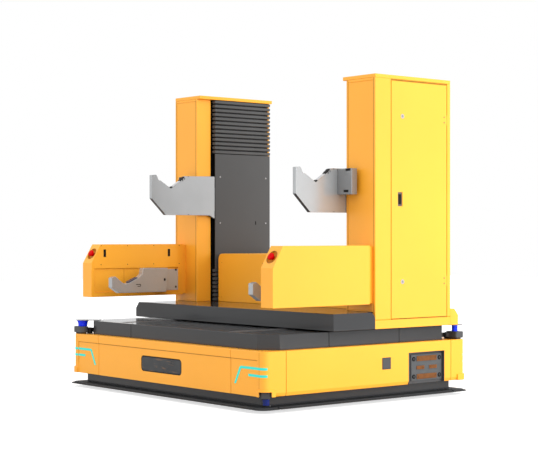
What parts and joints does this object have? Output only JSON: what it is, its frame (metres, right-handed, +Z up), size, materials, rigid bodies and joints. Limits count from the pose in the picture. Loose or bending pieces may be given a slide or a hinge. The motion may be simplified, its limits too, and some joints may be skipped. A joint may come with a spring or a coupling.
{
  "type": "automated guided vehicle with twin lift columns",
  "caption": "Low steered automated guided vehicle with a sliding platform, lift columns with V hooks, and forward arms with sliding lower cradles for carrying rolls and beams.",
  "frame": {"origin": "on the floor under the middle of the base", "axes": "+X is the driving direction, towards the arms; +Y is the vehicle's left, the side with the charging plate; +Z is up"},
  "size_m": [1.67, 2, 1.93],
  "materials": {
    "yellow_paint": "satin powder coat",
    "dark_paint": "satin powder coat, slightly glossy",
    "frame_steel": "satin paint",
    "rail_steel": "ground steel",
    "bumper_rubber": "matt",
    "window_glass": "dark glossy",
    "light_plastic": "lit turquoise",
    "copper": "bare contact metal",
    "socket_plastic": "matt",
    "scanner_blue": "glossy, dark blue",
    "stop_red": "glossy red",
    "hook_steel": "machined",
    "bellows_fabric": "matt coated cloth",
    "fork_steel": "satin",
    "drive_tyre": "polyurethane",
    "caster_tyre": "polyurethane"
  },
  "bodies": {
    "chassis": {"chassis_frame": "frame_steel", "front_panel": "yellow_paint", "rear_panel": "yellow_paint", "side_panels": "yellow_paint", "corner_posts": "yellow_paint", "deck": "dark_paint", "apron": "dark_paint", "contact_strips": "bumper_rubber", "window_panels": "window_glass", "light_strips": "light_plastic", "charging_plate": "frame_steel", "charging_pads": "copper", "service_socket": "socket_plastic", "scanner_housings": "dark_paint", "scanner_windows": "scanner_blue", "scanner_guards": "frame_steel", "deck_rails": "rail_steel"},
    "steer_front": {"steer_fork_front": "fork_steel"},
    "steer_rear": {"steer_fork_rear": "fork_steel"},
    "drive_front": {"drive_wheel_front": "drive_tyre"},
    "drive_rear": {"drive_wheel_rear": "drive_tyre"},
    "caster_front_left": {"caster_fork_front_left": "fork_steel"},
    "roller_front_left": {"caster_wheel_front_left": "caster_tyre"},
    "caster_front_right": {"caster_fork_front_right": "fork_steel"},
    "roller_front_right": {"caster_wheel_front_right": "caster_tyre"},
    "caster_rear_left": {"caster_fork_rear_left": "fork_steel"},
    "roller_rear_left": {"caster_wheel_rear_left": "caster_tyre"},
    "caster_rear_right": {"caster_fork_rear_right": "fork_steel"},
    "roller_rear_right": {"caster_wheel_rear_right": "caster_tyre"},
    "upper_frame": {"platform": "dark_paint", "rear_beam": "yellow_paint", "middle_cabinet": "yellow_paint", "column_left": "yellow_paint", "column_right": "yellow_paint", "column_caps": "yellow_paint", "masts": "frame_steel", "arm_left": "yellow_paint", "arm_right": "yellow_paint", "stop_collars": "yellow_paint", "stop_buttons": "stop_red", "bellows_high_left": "bellows_fabric", "bellows_high_right": "bellows_fabric", "bellows_low_left": "bellows_fabric", "bellows_low_right": "bellows_fabric"},
    "lift_left": {"lift_cover_left": "dark_paint", "upper_hook_left": "hook_steel", "hook_sensor_left": "socket_plastic"},
    "low_left": {"lower_hook_left": "hook_steel"},
    "door_left": {"door_left": "yellow_paint"},
    "lift_right": {"lift_cover_right": "dark_paint", "upper_hook_right": "hook_steel", "hook_sensor_right": "socket_plastic"},
    "low_right": {"lower_hook_right": "hook_steel"},
    "door_right": {"door_right": "yellow_paint"}
  },
  "joints": [
    {"name": "platform_slide", "type": "slide", "parent": "chassis", "child": "upper_frame", "axis": [1, 0, 0], "range_m": [0, 0.4]},
    {"name": "steer_front", "type": "hinge", "parent": "chassis", "child": "steer_front", "pos_m": [0.5, 0, 0.2], "axis": [0, 0, 1], "range_deg": [-110, 110]},
    {"name": "spin_front", "type": "hinge", "parent": "steer_front", "child": "drive_front", "pos_m": [0.5, 0, 0.115], "axis": [0, 1, 0], "continuous": true},
    {"name": "swivel_front_left", "type": "hinge", "parent": "chassis", "child": "caster_front_left", "pos_m": [0.55, 0.75, 0.18], "axis": [0, 0, 1], "continuous": true},
    {"name": "roll_front_left", "type": "hinge", "parent": "caster_front_left", "child": "roller_front_left", "pos_m": [0.505, 0.75, 0.075], "axis": [0, 1, 0], "continuous": true},
    {"name": "swivel_front_right", "type": "hinge", "parent": "chassis", "child": "caster_front_right", "pos_m": [0.55, -0.75, 0.18], "axis": [0, 0, 1], "continuous": true},
    {"name": "roll_front_right", "type": "hinge", "parent": "caster_front_right", "child": "roller_front_right", "pos_m": [0.505, -0.75, 0.075], "axis": [0, 1, 0], "continuous": true},
    {"name": "steer_rear", "type": "hinge", "parent": "chassis", "child": "steer_rear", "pos_m": [-0.5, 0, 0.2], "axis": [0, 0, 1], "range_deg": [-110, 110]},
    {"name": "spin_rear", "type": "hinge", "parent": "steer_rear", "child": "drive_rear", "pos_m": [-0.5, 0, 0.115], "axis": [0, 1, 0], "continuous": true},
    {"name": "swivel_rear_left", "type": "hinge", "parent": "chassis", "child": "caster_rear_left", "pos_m": [-0.55, 0.75, 0.18], "axis": [0, 0, 1], "continuous": true},
    {"name": "roll_rear_left", "type": "hinge", "parent": "caster_rear_left", "child": "roller_rear_left", "pos_m": [-0.595, 0.75, 0.075], "axis": [0, 1, 0], "continuous": true},
    {"name": "swivel_rear_right", "type": "hinge", "parent": "chassis", "child": "caster_rear_right", "pos_m": [-0.55, -0.75, 0.18], "axis": [0, 0, 1], "continuous": true},
    {"name": "roll_rear_right", "type": "hinge", "parent": "caster_rear_right", "child": "roller_rear_right", "pos_m": [-0.595, -0.75, 0.075], "axis": [0, 1, 0], "continuous": true},
    {"name": "lift_left", "type": "slide", "parent": "upper_frame", "child": "lift_left", "axis": [0, 0, 1], "range_m": [-0.15, 0.25], "deforming": ["bellows_high_left", "bellows_low_left"]},
    {"name": "low_hook_left", "type": "slide", "parent": "upper_frame", "child": "low_left", "axis": [1, 0, 0], "range_m": [-0.08, 0.3]},
    {"name": "door_left", "type": "hinge", "parent": "upper_frame", "child": "door_left", "pos_m": [-0.6285, 0.997, 1.2], "axis": [0, 0, 1], "range_deg": [0, 110]},
    {"name": "lift_right", "type": "slide", "parent": "upper_frame", "child": "lift_right", "axis": [0, 0, 1], "range_m": [-0.15, 0.25], "deforming": ["bellows_high_right", "bellows_low_right"]},
    {"name": "low_hook_right", "type": "slide", "parent": "upper_frame", "child": "low_right", "axis": [1, 0, 0], "range_m": [-0.08, 0.3]},
    {"name": "door_right", "type": "hinge", "parent": "upper_frame", "child": "door_right", "pos_m": [-0.6285, -0.997, 1.2], "axis": [0, 0, -1], "range_deg": [0, 110]}
  ]
}
